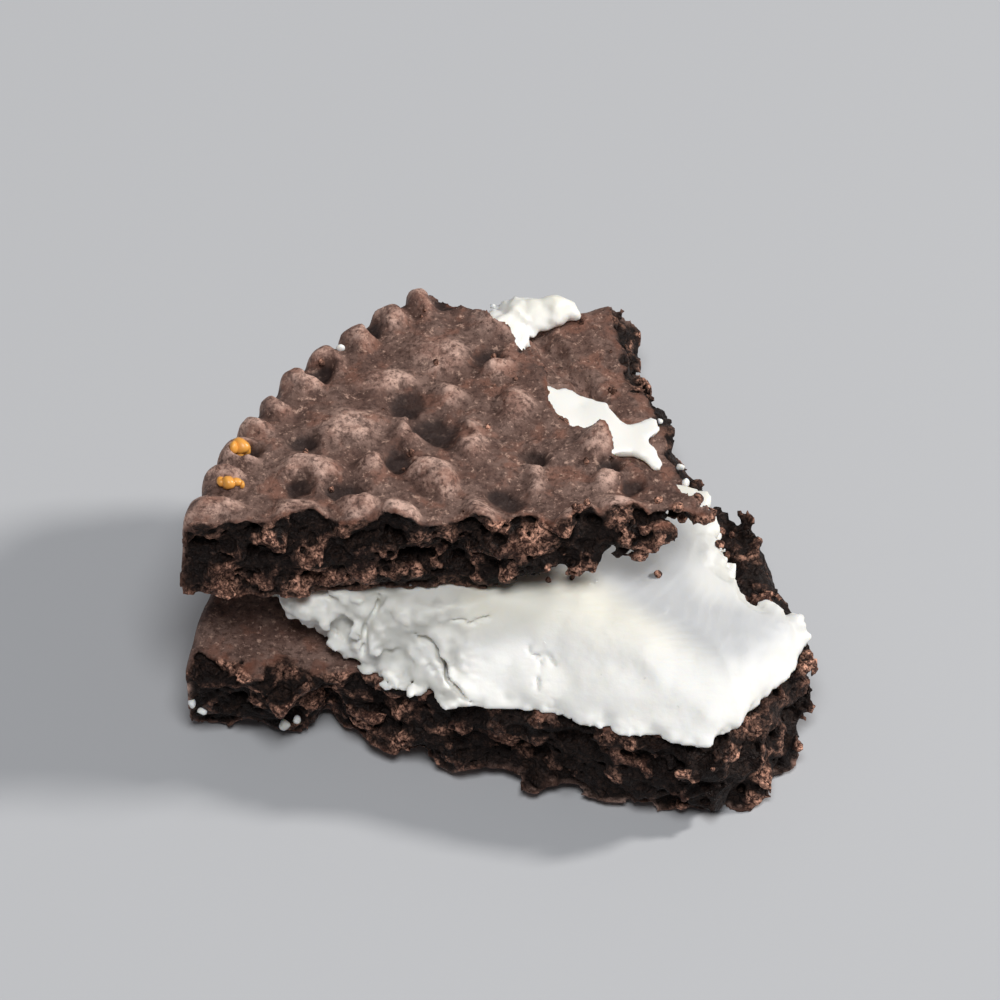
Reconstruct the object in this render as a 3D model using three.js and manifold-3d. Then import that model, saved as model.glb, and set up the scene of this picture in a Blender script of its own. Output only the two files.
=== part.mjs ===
/**
 * A broken piece of chocolate sandwich cookie: two embossed cocoa wafers with a layer of creme
 * between them, snapped out of the round cookie near its rim.
 *
 * Units are millimetres and +Z is up. Outlines are measured from the axis of the round cookie,
 * with X along the front break and Y towards the rim. The exported group moves them so that the
 * origin lies under the middle of the piece, on the surface that it rests on.
 */
import * as THREE from 'three';
import { mergeVertices } from 'three/addons/utils/BufferGeometryUtils.js';
import Module from 'manifold-3d';

const wasm = await Module();
wasm.setup();

// The round cookie
const COOKIE_RADIUS = 22.3;
const WAFER_THICKNESS = 4.3;
const CREME_RADIUS = 20.3;
const CREME_HEIGHT = 3.0; // between the wafers, at the front break
const TOP_TILT = THREE.MathUtils.degToRad(4.5); // the top wafer leans down towards the rim
const TILT_AXIS_Y = 5.5; // the front break, where the creme height is taken
const TILT_GAP = 0.05; // between the creme and the leaning wafer
// How far the layers have slid from the cookie's axis
const TOP_SLIP = [0, 0.7];
const CREME_SLIP = [0.2, 1.4];
const BOTTOM_SLIP = [0.5, 2.1];

// The middle of the piece, from the cookie's axis
const PIECE_MIDDLE = [-10.15, 11.73];

// Embossing of a wafer's outer face
const RELIEF_DEPTH = 0.7;
const SHOULDER = 0.8; // width of the rounded outer edge
const INNER_EDGE = 0.7; // width of the rounded edge of the inner face
const EDGE_STEPS = 3; // facets across a rounded edge
const RIB_COUNT = 90;
const RIB_START = 20.3; // the ribs run outwards from this radius
const RIB_HEIGHT = 0.8; // as a share of the embossing's depth
const RIB_SLOPE = [-0.7, 0.6]; // the part of each wave of the ribs in which they rise
const RIB_NOTCH = 0.14; // how far the outline steps in between two ribs
const MOTIF_EDGE = 0.38; // width of the slope round a motif
const MOTIF_ROWS = [
  { count: 44, radius: 18.6, halfLength: 1.1, halfWidth: 0.85, slant: 0.6, phase: 0 },
  { count: 44, radius: 16.6, halfLength: 0.8, halfWidth: 0.8, slant: 0, phase: 0.5 },
  { count: 36, radius: 14.6, halfLength: 1.2, halfWidth: 0.8, slant: -0.6, phase: 0 },
  { count: 22, radius: 11.8, halfLength: 1.8, halfWidth: 0.6, slant: -0.8, phase: 0.5 },
  { count: 22, radius: 9.4, halfLength: 0.6, halfWidth: 0.7, slant: 0, phase: 0 },
  { count: 11, radius: 7.4, halfLength: 1.6, halfWidth: 1.1, slant: 0, phase: 0.25 },
];
const CENTRE_RADIUS = 4.6;

// Crumbling of the broken faces
const CRAG_DEPTH = 2.2; // from the deepest pit to the highest crag
const CRAG_SIZES = [3.0, 1.3]; // widths of the large and the small crags
const CRAG_SHARES = [0.55, 0.45];
const CRAG_FLATNESS = 1.6; // the crumb breaks in flat flakes, wider than they are high
const CRAG_SEEDS = { top: 1, bottom: 2, creme: 3, residue: 5, hollow: 9 };
const CRAG_TURN = 4; // from the seed of the crags along X to that of the crags along Y
const RESIDUE_ROUGHNESS = 0.4;

// Slopes of the broken front, which fade out behind it over a stretch of Y
const FRONT_FADE = [6, 9];
// How far the foot of the bottom wafer's front stands back, over a stretch of X
const BOTTOM_RECESS = { left: 0.6, right: 0.1, from: [-12.5, -10] };
const CREME_FADE = [5, 7.5];
// How far the creme leans back over its height, and how rough it is, each over a stretch of X
const CREME_SLOPE = { left: 1.6, middle: 2.2, middleFrom: [-14, -8], end: -2.8, endFrom: [-4, -0.5] };
const CREME_ROUGHNESS = { left: 1.1, right: 0.3, from: [-14, -9] };

// Fineness of the meshes
const TOP_MESH = { segments: 360, ringStep: 0.55, crumbStep: 0.55 };
const BOTTOM_MESH = { segments: 180, ringStep: 0.9, crumbStep: 0.7 };
const CREME_MESH = { segments: 144, crumbStep: 0.55, beadAround: 16, beadUp: 10 };
const BLOCK_MARGIN = 0.6; // how far a cutting block reaches past what it cuts

// Broken outlines, from the rim at the back right round to the rim at the front left
const TOP_BREAK = [
  [-13.2, 21.6], [-11.7, 18.6], [-9.2, 15.8], [-7.9, 12.4], [-6.6, 9.4], [-4.1, 7.8], [-2.1, 6.3],
  [-4.7, 5.6], [-7.7, 5.3], [-11.9, 5.4], [-15.5, 5.9], [-18.0, 5.9], [-20.5, 5.4], [-24.0, 5.2],
];
const BOTTOM_BREAK = [
  [-5.6, 24.5], [-5.1, 20.9], [-3.8, 17.3], [-2.6, 13.7], [-0.9, 11.4], [0.6, 8.5], [1.2, 6.6],
  [0.9, 4.8], [0.2, 3.2], [-0.9, 1.7], [-2.4, 0.3], [-5.1, 1.0], [-7.4, 1.7], [-9.8, 2.4],
  [-11.7, 2.7], [-14.6, 3.6], [-17.0, 4.2], [-24.0, 4.4],
];
const CREME_BREAK = [
  [-9.9, 24.5], [-10.2, 20.0], [-10.4, 18.0], [-9.2, 15.8], [-7.7, 13.6], [-4.9, 11.6], [-2.6, 10.9],
  [-2.1, 9.2], [-1.7, 7.3], [-0.9, 6.0], [0.6, 6.1], [1.3, 5.4], [0.4, 3.9], [-0.8, 2.5],
  [-1.5, 1.2], [-2.9, 0.2], [-5.1, 0.8], [-7.4, 1.4], [-9.8, 2.2], [-11.7, 2.6], [-13.3, 2.9],
  [-15.2, 3.7], [-16.4, 4.6], [-17.5, 6.3], [-19.0, 8.8], [-24.0, 11.0],
];
// A thin smear of creme, left where the top wafer and the creme under it broke away
const RESIDUE = [
  [-10.5, 18.6], [-7.9, 18.5], [-7.0, 18.1], [-5.9, 17.9], [-5.7, 16.7], [-5.3, 16.2], [-4.4, 16.6],
  [-4.2, 16.0], [-4.7, 15.5], [-4.3, 14.6], [-5.1, 15.0], [-6.4, 14.6], [-7.6, 13.2], [-10.5, 13.2],
];
const RESIDUE_HEIGHT = 0.55;
// Under the top wafer's tip the crumb is gone and only a thin crust is left
const TIP_HOLLOW = { from: -10.2, to: -2.6, crust: 0.9, front: 3.0, back: 13.0, roughness: 0.5 };
// Where the creme was squeezed out past its edge, and the neck that joins it to the layer
const BEADS = [
  { middle: [-8.5, 22.1, 0.4], radii: [1.35, 0.8, 0.6] },
  { middle: [-9.7, 20.2, 0.3], radii: [1.4, 2.1, 0.6] },
];
const RIM_SWELL = { by: 0.6, perTurn: 4, seed: 7 }; // how the creme's edge wanders round the cookie
// The creme's right end broke off along this slope: its height at the axis and its fall per mm
const END_SLOPE = { height: 1.0, fallX: 0.34, fallY: -0.076 };
const BEYOND_RIM = [[-27.0, 15.0], [-20.0, 27.0]]; // closes every outline outside the cookie

/** Rises smoothly from 0 at `low` to 1 at `high`. */
function ramp(value, low, high) {
  return THREE.MathUtils.smoothstep(value, low, high);
}

/** The same over a stretch that is given as [low, high]. */
function over(value, [low, high]) {
  return ramp(value, low, high);
}

/** A repeatable number from 0 to 1 for each corner of a unit lattice. */
function cornerValue(i, j, k, seed) {
  const mixed = Math.sin(i * 127.1 + j * 311.7 + k * 74.7 + seed * 53.9) * 43758.5453;
  return mixed - Math.floor(mixed);
}

/** Smooth noise from 0 to 1 that changes over a distance of about 1. */
function noise(x, y, z, seed) {
  const [i, j, k] = [Math.floor(x), Math.floor(y), Math.floor(z)];
  const [u, v, w] = [ramp(x - i, 0, 1), ramp(y - j, 0, 1), ramp(z - k, 0, 1)];
  const along = (dj, dk) => THREE.MathUtils.lerp(
    cornerValue(i, j + dj, k + dk, seed), cornerValue(i + 1, j + dj, k + dk, seed), u);
  const level = (dk) => THREE.MathUtils.lerp(along(0, dk), along(1, dk), v);
  return THREE.MathUtils.lerp(level(0), level(1), w);
}

/** How far a broken face stands out or in, between -0.5 and 0.5 of CRAG_DEPTH. */
function crag(x, y, z, seed) {
  let sum = 0;
  CRAG_SIZES.forEach((size, i) => {
    sum += CRAG_SHARES[i] * (noise(x / size, y / size, (z * CRAG_FLATNESS) / size, seed + i) - 0.5);
  });
  return sum * CRAG_DEPTH;
}

/** Moves every vertex of a geometry by `move(point)`, which changes the point it is given. */
function reshape(geometry, move) {
  const position = geometry.getAttribute('position');
  const point = new THREE.Vector3();
  for (let i = 0; i < position.count; i += 1) {
    point.fromBufferAttribute(position, i);
    move(point);
    position.setXYZ(i, point.x, point.y, point.z);
  }
  return geometry;
}

/** A closed geometry as a solid that can be cut and joined. */
function solidOf(geometry) {
  const bare = geometry.clone();
  bare.deleteAttribute('normal');
  bare.deleteAttribute('uv');
  const welded = mergeVertices(bare, 1e-4);
  const corners = welded.getIndex().array;
  const triangles = [];
  for (let i = 0; i < corners.length; i += 3) {
    const [a, b, c] = [corners[i], corners[i + 1], corners[i + 2]];
    if (a !== b && b !== c && c !== a) triangles.push(a, b, c);
  }
  return new wasm.Manifold(new wasm.Mesh({
    numProp: 3,
    vertProperties: new Float32Array(welded.getAttribute('position').array),
    triVerts: new Uint32Array(triangles),
  }));
}

/** A named mesh of a solid. */
function meshOf(name, solid, material) {
  const { vertProperties, triVerts } = solid.getMesh();
  const geometry = new THREE.BufferGeometry();
  geometry.setAttribute('position', new THREE.BufferAttribute(vertProperties, 3));
  geometry.setIndex(new THREE.BufferAttribute(triVerts, 1));
  geometry.computeVertexNormals();
  const mesh = new THREE.Mesh(geometry, material);
  mesh.name = name;
  return mesh;
}

/** How far into one row of raised motifs a point lies: 1 on a motif and 0 between them. */
function motifRow(radius, angle, row) {
  const pitch = (2 * Math.PI) / row.count;
  const outward = radius - row.radius;
  const nearest = pitch * (Math.round(angle / pitch - row.phase) + row.phase);
  const across = radius * (angle - nearest);
  const along = outward * Math.cos(row.slant) + across * Math.sin(row.slant);
  const aside = across * Math.cos(row.slant) - outward * Math.sin(row.slant);
  const reach = Math.hypot(along / row.halfLength, aside / row.halfWidth);
  return 1 - ramp((reach - 1) * row.halfWidth, -MOTIF_EDGE / 2, MOTIF_EDGE / 2);
}

/** The height of the embossing from 0, the ground, to 1, the tops of the motifs. */
function relief(radius, angle) {
  const rib = RIB_HEIGHT * over(Math.cos(RIB_COUNT * angle), RIB_SLOPE)
    * ramp(radius, RIB_START, RIB_START + MOTIF_EDGE);
  const centre = 1 - ramp(radius, CENTRE_RADIUS, CENTRE_RADIUS + MOTIF_EDGE);
  return Math.max(rib, centre, ...MOTIF_ROWS.map((row) => motifRow(radius, angle, row)));
}

/** A closed round body about Z from a profile of [radius, height] that starts and ends on the axis. */
function turned(profile, segments) {
  const points = profile.map(([radius, height]) => new THREE.Vector2(radius, height));
  return new THREE.LatheGeometry(points, segments).rotateX(Math.PI / 2);
}

/** The rim's profile round an edge, from the face at a height to the side that lies beyond it. */
function roundedEdge(width, height, towards) {
  const steps = Array.from({ length: EDGE_STEPS + 1 }, (_, step) => (step * Math.PI) / (2 * EDGE_STEPS));
  return steps.map((turn) => [
    COOKIE_RADIUS - width * (1 - Math.sin(turn)), height + towards * width * (1 - Math.cos(turn)),
  ]);
}

/** A whole round wafer: flat inner face at z = 0, embossed outer face towards +Z. */
function waferBlank({ segments, ringStep }) {
  const ground = WAFER_THICKNESS - RELIEF_DEPTH;
  const faceRadius = COOKIE_RADIUS - SHOULDER;
  const shoulder = roundedEdge(SHOULDER, ground, -1).slice(1).reverse();
  const profile = [[0, 0], ...roundedEdge(INNER_EDGE, 0, 1), ...shoulder];
  const rings = Math.round(faceRadius / ringStep);
  for (let ring = 0; ring <= rings; ring += 1) profile.push([faceRadius * (1 - ring / rings), ground]);
  return reshape(turned(profile, segments), (point) => {
    const radius = Math.hypot(point.x, point.y);
    const angle = Math.atan2(point.y, point.x);
    const raised = relief(radius, angle);
    const notch = RIB_NOTCH * (1 - raised) * ramp(point.z, INNER_EDGE, ground - SHOULDER)
      * ramp(radius, faceRadius, COOKIE_RADIUS);
    point.z += RELIEF_DEPTH * raised * ramp(point.z, ground - SHOULDER, ground);
    point.x -= notch * Math.cos(angle);
    point.y -= notch * Math.sin(angle);
  });
}

/**
 * A tall block on the kept side of a broken outline, with crumbled walls along it. `lean` moves
 * the walls in Y by their place and by the share of the height, and `roughness` scales the crags.
 */
function fractureBlock(outline, height, { crumbStep }, seed, lean = () => 0, roughness = () => 1) {
  const edge = new THREE.Path(outline.map(([x, y]) => new THREE.Vector2(x, y)));
  const broken = edge.getSpacedPoints(Math.round(edge.getLength() / crumbStep));
  const depth = height + 2 * BLOCK_MARGIN;
  const block = new THREE.ExtrudeGeometry(new THREE.Shape(broken), {
    depth,
    steps: Math.round(depth / crumbStep),
    bevelEnabled: false,
  });
  block.translate(0, 0, -BLOCK_MARGIN);
  return reshape(block, (point) => {
    const { x, y, z } = point;
    const share = THREE.MathUtils.clamp(z / height, 0, 1);
    point.x += roughness(x) * crag(x, y, z, seed);
    point.y += roughness(x) * crag(x, y, z, seed + CRAG_TURN) + lean(x, y, share);
  });
}

/** A level slab from `low` to `high` that reaches well past the cookie. */
function slab(low, high) {
  const size = 4 * COOKIE_RADIUS;
  return new THREE.BoxGeometry(size, size, high - low).translate(0, 0, (low + high) / 2);
}

/** The crumb that is missing under the thin crust at the top wafer's tip. */
function tipHollow() {
  const { from, to, crust, front, back, roughness } = TIP_HOLLOW;
  const length = to - from + 2 * BLOCK_MARGIN;
  const depth = back - front;
  const steps = (size) => Math.round(size / (2 * TOP_MESH.crumbStep));
  const hollow = new THREE.BoxGeometry(length, depth, WAFER_THICKNESS, steps(length), steps(depth), 1);
  hollow.translate((from + to) / 2, (front + back) / 2, -WAFER_THICKNESS / 2);
  const steepness = (WAFER_THICKNESS - crust) / (to - from);
  return reshape(hollow, (point) => {
    const { x, y, z } = point;
    point.z += steepness * (x - from) + roughness * crag(x, y, z, CRAG_SEEDS.hollow);
  });
}

/** The top wafer in its own level frame, outer face up. */
function topWafer() {
  const blank = waferBlank(TOP_MESH);
  blank.translate(TOP_SLIP[0], TOP_SLIP[1], 0);
  const outline = [...TOP_BREAK, ...BEYOND_RIM];
  const block = fractureBlock(outline, WAFER_THICKNESS, TOP_MESH, CRAG_SEEDS.top);
  return solidOf(blank).intersect(solidOf(block)).subtract(solidOf(tipHollow()));
}

/** The bottom wafer, embossed face down; the foot of its broken front stands back. */
function bottomWafer() {
  const blank = waferBlank(BOTTOM_MESH);
  blank.rotateX(Math.PI);
  blank.translate(BOTTOM_SLIP[0], BOTTOM_SLIP[1], WAFER_THICKNESS);
  const recess = (x) => THREE.MathUtils.lerp(
    BOTTOM_RECESS.left, BOTTOM_RECESS.right, over(x, BOTTOM_RECESS.from));
  const foot = (x, y, share) => recess(x) * (1 - over(y, FRONT_FADE)) * (1 - share);
  const outline = [...BOTTOM_BREAK, ...BEYOND_RIM];
  const block = fractureBlock(outline, WAFER_THICKNESS, BOTTOM_MESH, CRAG_SEEDS.bottom, foot);
  return solidOf(blank).intersect(solidOf(block));
}

/** A round disc of creme with a bulging, wandering edge. */
function cremeDisc() {
  const bulge = [];
  for (let turn = -60; turn <= 60; turn += 20) {
    const angle = THREE.MathUtils.degToRad(turn);
    const inset = (CREME_HEIGHT / 2) * (Math.cos(angle) - 1);
    bulge.push([CREME_RADIUS + inset, (CREME_HEIGHT / 2) * (1 + Math.sin(angle) / Math.sin(Math.PI / 3))]);
  }
  const disc = turned([[0, 0], ...bulge, [0, CREME_HEIGHT]], CREME_MESH.segments);
  reshape(disc, (point) => {
    const turn = RIM_SWELL.perTurn * Math.atan2(point.y, point.x);
    const swell = 1 + (RIM_SWELL.by * (noise(turn, 0, 0, RIM_SWELL.seed) - 0.5)) / CREME_RADIUS;
    point.x *= swell;
    point.y *= swell;
  });
  return disc.translate(CREME_SLIP[0], CREME_SLIP[1], 0);
}

/** A rounded blob of creme. */
function bead({ middle, radii }) {
  const ball = new THREE.SphereGeometry(1, CREME_MESH.beadAround, CREME_MESH.beadUp);
  return ball.scale(...radii).translate(...middle);
}

/** What lies above the slope along which the creme's right end broke off. */
function aboveEndSlope() {
  const size = 4 * COOKIE_RADIUS;
  const above = new THREE.BoxGeometry(size, size, size).translate(0, 0, size / 2);
  return reshape(above, (point) => {
    point.z += END_SLOPE.height - END_SLOPE.fallX * point.x - END_SLOPE.fallY * point.y;
  });
}

/** The creme from z = 0, the bottom wafer's inner face, up to the leaning wafer. */
function cremeLayer() {
  const { left, middle, middleFrom, end, endFrom } = CREME_SLOPE;
  const lean = (x, y, share) => share * (1 - over(y, CREME_FADE))
    * (left + middle * over(x, middleFrom) + end * over(x, endFrom));
  const rough = (x) => THREE.MathUtils.lerp(
    CREME_ROUGHNESS.left, CREME_ROUGHNESS.right, over(x, CREME_ROUGHNESS.from));
  const outline = [...CREME_BREAK, ...BEYOND_RIM];
  const block = fractureBlock(outline, CREME_HEIGHT, CREME_MESH, CRAG_SEEDS.creme, lean, rough);
  const edge = fractureBlock(
    RESIDUE, CREME_HEIGHT, CREME_MESH, CRAG_SEEDS.residue, undefined, () => RESIDUE_ROUGHNESS);
  const layer = solidOf(cremeDisc()).intersect(solidOf(block)).subtract(solidOf(aboveEndSlope()));
  const smear = solidOf(edge).intersect(solidOf(slab(0, RESIDUE_HEIGHT)));
  const above = solidOf(slab(0, CREME_HEIGHT));
  return BEADS.reduce((creme, blob) => creme.add(solidOf(bead(blob)).intersect(above)), layer.add(smear));
}

/** Presses a geometry of the creme down to the height that the leaning wafer leaves it. */
function pressed(geometry) {
  return reshape(geometry, (point) => {
    const height = CREME_HEIGHT - TILT_GAP - Math.tan(TOP_TILT) * (point.y - TILT_AXIS_Y);
    point.z *= height / CREME_HEIGHT;
  });
}

const cocoa = new THREE.MeshStandardMaterial({ color: '#5a4038', roughness: 0.85, metalness: 0 });
const vanilla = new THREE.MeshStandardMaterial({ color: '#ebe8e0', roughness: 0.6, metalness: 0 });

const piece = new THREE.Group();
piece.position.set(-PIECE_MIDDLE[0], -PIECE_MIDDLE[1], 0);

const leaning = new THREE.Group();
leaning.position.set(0, TILT_AXIS_Y, WAFER_THICKNESS + CREME_HEIGHT);
leaning.rotation.x = -TOP_TILT;
const top = meshOf('wafer_top', topWafer(), cocoa);
top.position.y = -TILT_AXIS_Y - WAFER_THICKNESS * Math.sin(TOP_TILT);
leaning.add(top);

const creme = meshOf('creme', cremeLayer(), vanilla);
pressed(creme.geometry);
creme.position.z = WAFER_THICKNESS;

piece.add(leaning, creme, meshOf('wafer_bottom', bottomWafer(), cocoa));

export default piece;
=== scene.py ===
"""A broken piece of chocolate sandwich cookie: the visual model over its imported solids.

Each layer is described by a field in millimetres, positive inside and negative outside, on a block
of sample points. The fields follow the outlines, the leaning wafer and the large crags of the
solids, and add the fine crumb, the pores, the grains of the creme and the wear. Each field then
becomes a mesh. Outlines are measured from the axis of the round cookie, X along the front break
and Y towards the rim, and only finished meshes move to the row's frame, in metres.
"""
import math

import bmesh
import bpy
import numpy as np
import openvdb
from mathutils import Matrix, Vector
from mathutils.bvhtree import BVHTree


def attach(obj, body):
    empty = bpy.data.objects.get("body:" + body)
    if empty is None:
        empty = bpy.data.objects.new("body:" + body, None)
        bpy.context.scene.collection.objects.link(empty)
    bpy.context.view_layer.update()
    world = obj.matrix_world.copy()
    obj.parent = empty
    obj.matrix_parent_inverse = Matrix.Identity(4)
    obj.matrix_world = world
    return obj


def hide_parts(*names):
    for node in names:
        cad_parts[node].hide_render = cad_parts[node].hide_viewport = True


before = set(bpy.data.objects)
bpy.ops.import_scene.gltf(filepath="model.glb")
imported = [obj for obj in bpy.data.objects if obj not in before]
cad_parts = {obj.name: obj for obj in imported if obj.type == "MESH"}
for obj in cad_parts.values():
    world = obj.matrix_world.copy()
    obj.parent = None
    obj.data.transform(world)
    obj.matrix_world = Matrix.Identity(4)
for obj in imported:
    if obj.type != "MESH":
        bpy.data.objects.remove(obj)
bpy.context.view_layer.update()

MM = 0.001

# The round cookie, as in the solids
COOKIE_RADIUS = 22.3
WAFER_THICKNESS = 4.3
CREME_RADIUS = 20.3
CREME_HEIGHT = 3.0
TOP_TILT = math.radians(4.5)
TILT_AXIS_Y = 5.5
TILT_GAP = 0.05
TOP_SLIP = (0.0, 0.7)
CREME_SLIP = (0.2, 1.4)
BOTTOM_SLIP = (0.5, 2.1)
PIECE_MIDDLE = (-10.15, 11.73)

# Embossing of a wafer's outer face
RELIEF_DEPTH = 0.7
SHOULDER = 0.8
INNER_EDGE = 0.7
RIB_COUNT = 90
RIB_RISE = (20.2, 20.95)  # radii over which the ribs rise
RIB_HEIGHT = 0.8
RIB_SLOPE = (-0.9, 0.7)  # part of each wave in which a rib rises
RIB_NOTCH = 0.14
NOTCH_RADII = (21.2, 22.1)  # radii over which the notches between the ribs set in
NOTCH_START = 0.5  # height above the inner face
RIM_INSET = 0.1  # how far the ribs are worn back
CENTRE_EDGE = (4.6, 5.25)  # radii over which the raised centre falls off
MOTIF_ROWS = (
    dict(count=44, radius=18.6, half_length=1.1, half_width=0.85, slant=0.6, phase=0),
    dict(count=44, radius=16.6, half_length=0.8, half_width=0.8, slant=0, phase=0.5),
    dict(count=36, radius=14.6, half_length=1.2, half_width=0.8, slant=-0.6, phase=0),
    dict(count=22, radius=11.8, half_length=1.8, half_width=0.6, slant=-0.8, phase=0.5),
    dict(count=22, radius=9.4, half_length=0.6, half_width=0.7, slant=0, phase=0),
    dict(count=11, radius=7.4, half_length=1.6, half_width=1.1, slant=0, phase=0.25),
)
MOTIF_SLOPE = (-0.39, 0.325)  # from a motif's outline
MOTIF_DOME = 0.25  # share by which a motif falls towards its outline
# Each motif came out a little differently: the least value and how much it varies
MOTIF_SIZE, MOTIF_HEIGHT, MOTIF_SLIP = (0.7, 0.35), (0.45, 0.6), 0.3
# What is left of the relief: the least share, and noises as seed, share and size
WEAR_LEAST = 0.5
WEAR = ((2, 0.4, 3.3), (5, 0.25, 1.1))
TOP_RISE, BOTTOM_RISE = -0.12, 0.03  # how far the outer faces lie beyond the solids'

# Hollows worn or baked into the top wafer's face: X, Y and radius
TOP_DENTS = (
    (-17.5, 7.6, 0.75), (-15.8, 7.2, 0.7), (-14.0, 8.9, 0.7), (-12.4, 10.6, 1.1), (-13.4, 12.2, 1),
    (-9.9, 6.9, 0.8), (-17.4, 9.9, 0.6), (-6.2, 8.6, 0.5), (-5.3, 7.5, 0.55), (-8.9, 9.3, 0.6),
    (-14.7, 16, 0.7), (-16.6, 13.8, 0.6), (-19.3, 9.4, 0.6), (-10.6, 14.6, 0.7), (-12, 17.8, 0.6),
)
DENT_DEPTH = 0.28
DENT_REACH = 1.2  # in radii
DENT_SLOPE = (0, 0.9)
# painted shade in the dents: how far they lower the number that darkens the ground
DENT_SHADE = 0.6

# Waves of the surfaces: depth, largest length, number of sizes, and seed or step in a run of seeds
WAVES = dict(
    rows=(0.45, 2.0, 2, 0), broad=(0.1, 2.3, 2, 3), fine=(0.07, 0.7, 3, 4), crumb=(0.25, 0.7, 2, 7),
    top_skin=(0.03, 0.9, 2, 25), dents=(0.32, 0.8, 3, 27), top_inner=(0.04, 1.4, 2, 28),
    bottom_skin=(0.02, 0.9, 1, 45), groove=(0.3, 1.2, 2, 64), torn=(0.3, 1.1, 3, 65),
    creme_rim=(0.25, 1.6, 3, 71), creme_end=(0.14, 2.4, 3, 75), creme=(0.1, 1.8, 3, 79),
    smear=(0.22, 0.8, 3, 87), bead=(0.17, 0.8, 3, 88), crack=(0.25, 0.9, 2, 91),
)

# Seeds of the grains and the loose crumbs; that of a face or its crumb starts a run
SEEDS = dict(
    top_face=21, top_crumb=31, bottom_face=41, bottom_crumb=51, ripple=61, inner_grain=(62, 63),
    lumps=81, grains=82, holes=83, creme_warp=84,
    fallen=5, cocoa_crumbs=11, creme_flecks=12, golden_crumbs=13,
)

# The crumb of a broken face: lumps and waves on it, and pores of three sizes cut into it
CRUMB_REACH = (-0.9, 1.2)  # from outside the mean break to inside
CRUMB_MARGIN = 0.3  # how far past the skin it is worked out
CRUMB_WARP = (0.45, 0.5)  # how far its forms are bent, and over what length
LUMPS = dict(size=1.3, flatness=1.2, depth=0.55, middle=0.65)
PORE_FLATNESS = 1.25
PORE_FADE = 0.35  # how fast the pores close with depth
CRUST_WIDTH, CRUST_SHARE = 0.22, 0.45  # under the skin it is denser and less deep
CRUST_STEP = 0.06  # how far the skin stands out beyond the crumb
PIT_START = 0.1  # painted shade darkens the pores from this depth on
PIT_FAR = 0.6  # away from the break
CRUMB_EDGE = (-0.08, 0.08)
# The spacing of each size of pore, its least radius and how far the radius varies
PORES = ((1.05, 0.04, 0.48), (0.56, 0.06, 0.22), (0.36, 0.07, 0.12))

# Large crags of the broken faces, as in the solids
CRAG_DEPTH = 2.2
CRAG_SIZES = (3.0, 1.3)
CRAG_SHARES = (0.55, 0.45)
CRAG_FLATNESS = 1.6
CRAG_SEEDS = dict(top=1, bottom=2, creme=3, residue=5, hollow=9)
CRAG_TURN = 4
RESIDUE_ROUGHNESS = 0.4

# Slopes of the broken front, which fade out behind it over a stretch of Y
FRONT_FADE = (6, 9)
BOTTOM_RECESS = dict(depths=(0.6, 0.1), start=(-12.5, -10))
CREME_FADE = (5, 7.5)
CREME_SLOPE = dict(left=1.6, middle=2.2, middle_start=(-14, -8), end=-2.8, end_start=(-4, -0.5))
CREME_ROUGHNESS = dict(depths=(1.1, 0.3), start=(-14, -9))

# Details of the lower wafer
FRONT_NOTCH = dict(x=-16.3, width=0.45, depth=0.9, back=(5.5, 7), up=(2.6, 4.0))
RIGHT_INSET = (0.25, (0.0, 1.4))  # how far its right end is worn back
BOTTOM_INNER_EDGE = 0.45
INNER_SHADE = 0.05  # painted shade on the inner face, as dark as the embossing's ground
INNER_START = (3.2, 4.0)
CRUMB_SHADE = (0.02, 0.1, (-12.5, -9))  # painted shade on its crumb: how much darker it is, more to the right
INNER_WEAR = 0.02
RIPPLE = dict(depth=0.1, length=1.7, bend=0.9, bend_size=2.6)
INNER_GRAIN = dict(depth=0.08, sizes=(0.9, 0.45))
RIPPLE_BACK, RIPPLE_LEFT = (11, 14), (-16, -14)  # it shows behind one and left of the other
GROOVE = dict(start=(-8.7, 21.8), end=(-6.6, 18.4), depth=0.45, side=(0.1, 0.5))
# The torn strip along its breaks, wider at the left, the right and the back right
TORN_WIDTH = 0.75
TORN_LEFT, TORN_RIGHT = (0.25, (-15.5, -12.5)), (0.6, (-4, -2))
TORN_BACK = dict(least=0.2, more=1.2, x=(-9, -6), y=(5, 7), end=(11.5, 13.5))
TORN_DEPTH = dict(away=-1.0, least=0.95, more=0.6, slope=(-0.3, 0.05), fall=(0, 1.3))

# Broken outlines, from the rim at the back right round to the rim at the front left
BEYOND_RIM = ((-27.0, 15.0), (-20.0, 27.0))
TOP_BREAK = (
    (-13.2, 21.6), (-11.7, 18.6), (-9.2, 15.8), (-7.9, 12.4), (-6.6, 9.4), (-4.1, 7.8), (-2.1, 6.3),
    (-4.7, 5.6), (-7.7, 5.3), (-11.9, 5.4), (-15.5, 5.9), (-18.0, 5.9), (-20.5, 5.4), (-24.0, 5.2),
)
BOTTOM_BREAK = (
    (-5.6, 24.5), (-5.1, 20.9), (-3.8, 17.3), (-2.6, 13.7), (-0.9, 11.4), (0.6, 8.5), (1.2, 6.6),
    (0.9, 4.8), (0.2, 3.2), (-0.9, 1.7), (-2.4, 0.3), (-5.1, 1.0), (-7.4, 1.7), (-9.8, 2.4),
    (-11.7, 2.7), (-14.6, 3.6), (-17.0, 4.2), (-24.0, 4.4),
)
CREME_BREAK = (
    (-9.9, 24.5), (-10.2, 20), (-10.4, 18), (-9.2, 15.8), (-7.7, 13.6), (-4.9, 11.6), (-2.6, 10.9),
    (-2.1, 9.2), (-1.7, 7.3), (-0.9, 6.0), (0.6, 6.1), (1.3, 5.4), (0.4, 3.9), (-0.8, 2.5),
    (-1.5, 1.2), (-2.9, 0.2), (-5.1, 0.8), (-7.4, 1.4), (-9.8, 2.2), (-11.7, 2.6), (-13.3, 2.9),
    (-15.2, 3.7), (-16.4, 4.6), (-17.5, 6.3), (-19.0, 8.8), (-24.0, 11.0),
)
CREME_CORNER = 15
FRONT_RUNS_ON = ((12.0, 24.5), (12.0, -4.6))
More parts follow.
